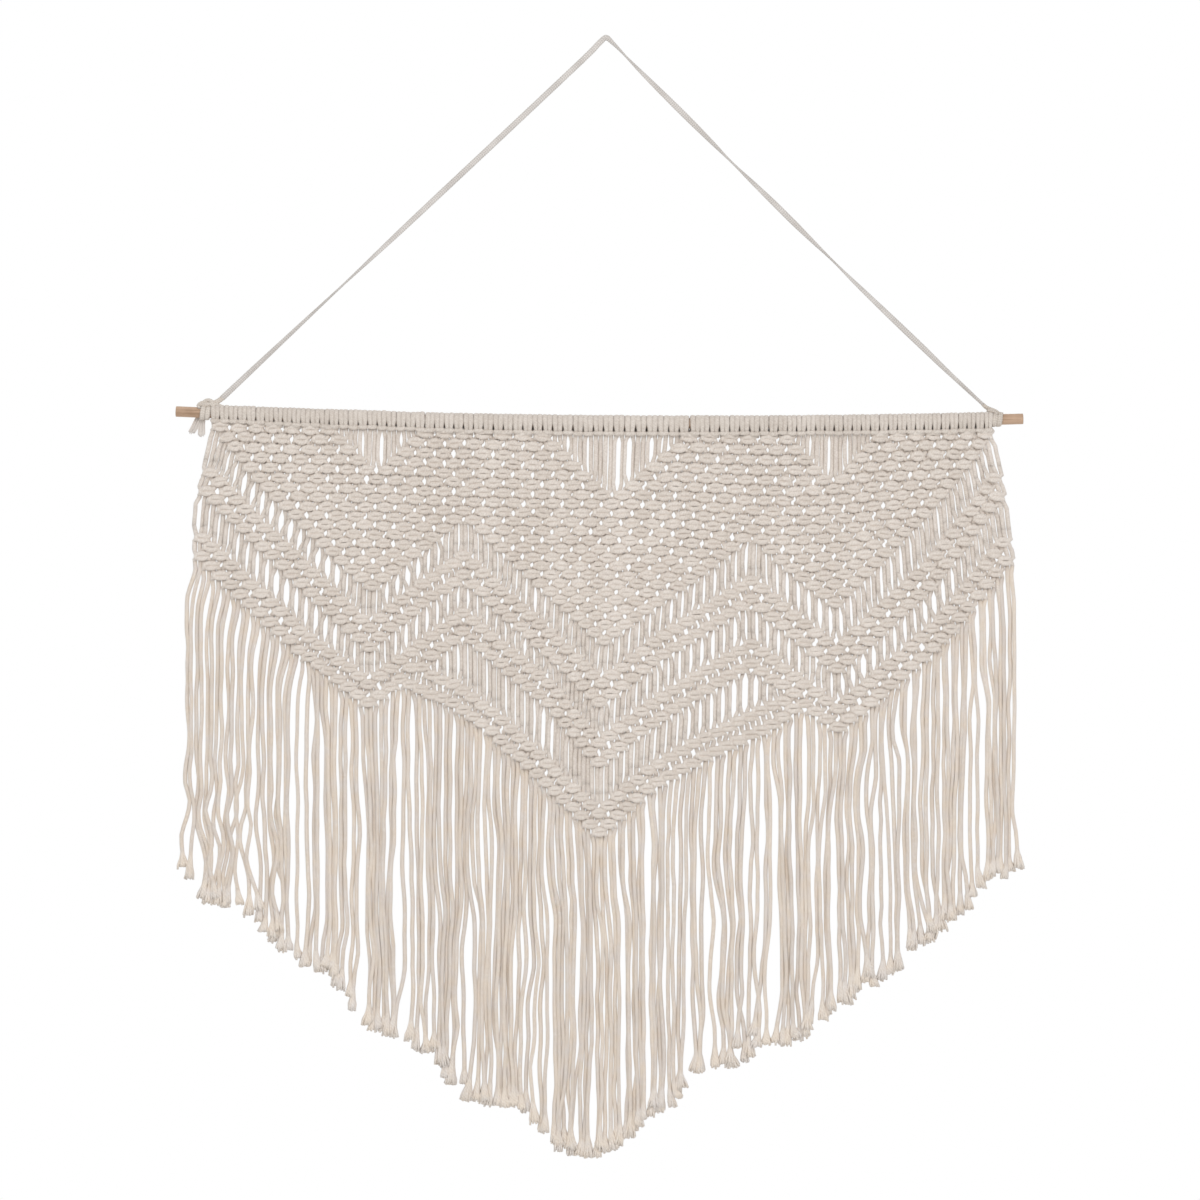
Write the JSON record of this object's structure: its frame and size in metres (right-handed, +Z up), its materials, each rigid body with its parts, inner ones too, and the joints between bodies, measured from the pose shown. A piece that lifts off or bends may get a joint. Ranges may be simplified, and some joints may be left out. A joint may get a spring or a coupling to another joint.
{
  "type": "macrame wall hanging on a wooden rod",
  "caption": "Wide knotted cotton wall hanging on a wooden rod, with a zigzag net of square knots, unknotted bands and a long fringe cut to a point, hung by a flat braided cord.",
  "frame": {"origin": "the point where the hanging cord rests on its hook, under the cord at its peak", "axes": "+X to the right along the rod as seen from the front, -Y out of the front towards the room, +Z up"},
  "size_m": [1.0005, 0.021, 1.3313],
  "materials": {
    "wood": "bare, lightly sanded",
    "cotton": "soft matt twisted cotton, natural off-white",
    "braid": "matt flat cotton braid, natural"
  },
  "bodies": {
    "root": {"rod": "wood", "heading": "cotton", "net_upper": "cotton", "cords_upper": "cotton", "net_middle": "cotton", "cords_middle": "cotton", "net_lower": "cotton", "cords_lower": "cotton", "net_tip": "cotton", "fringe": "cotton", "hanging_cord": "braid", "tie_left": "braid", "tie_right": "braid"}
  },
  "joints": []
}
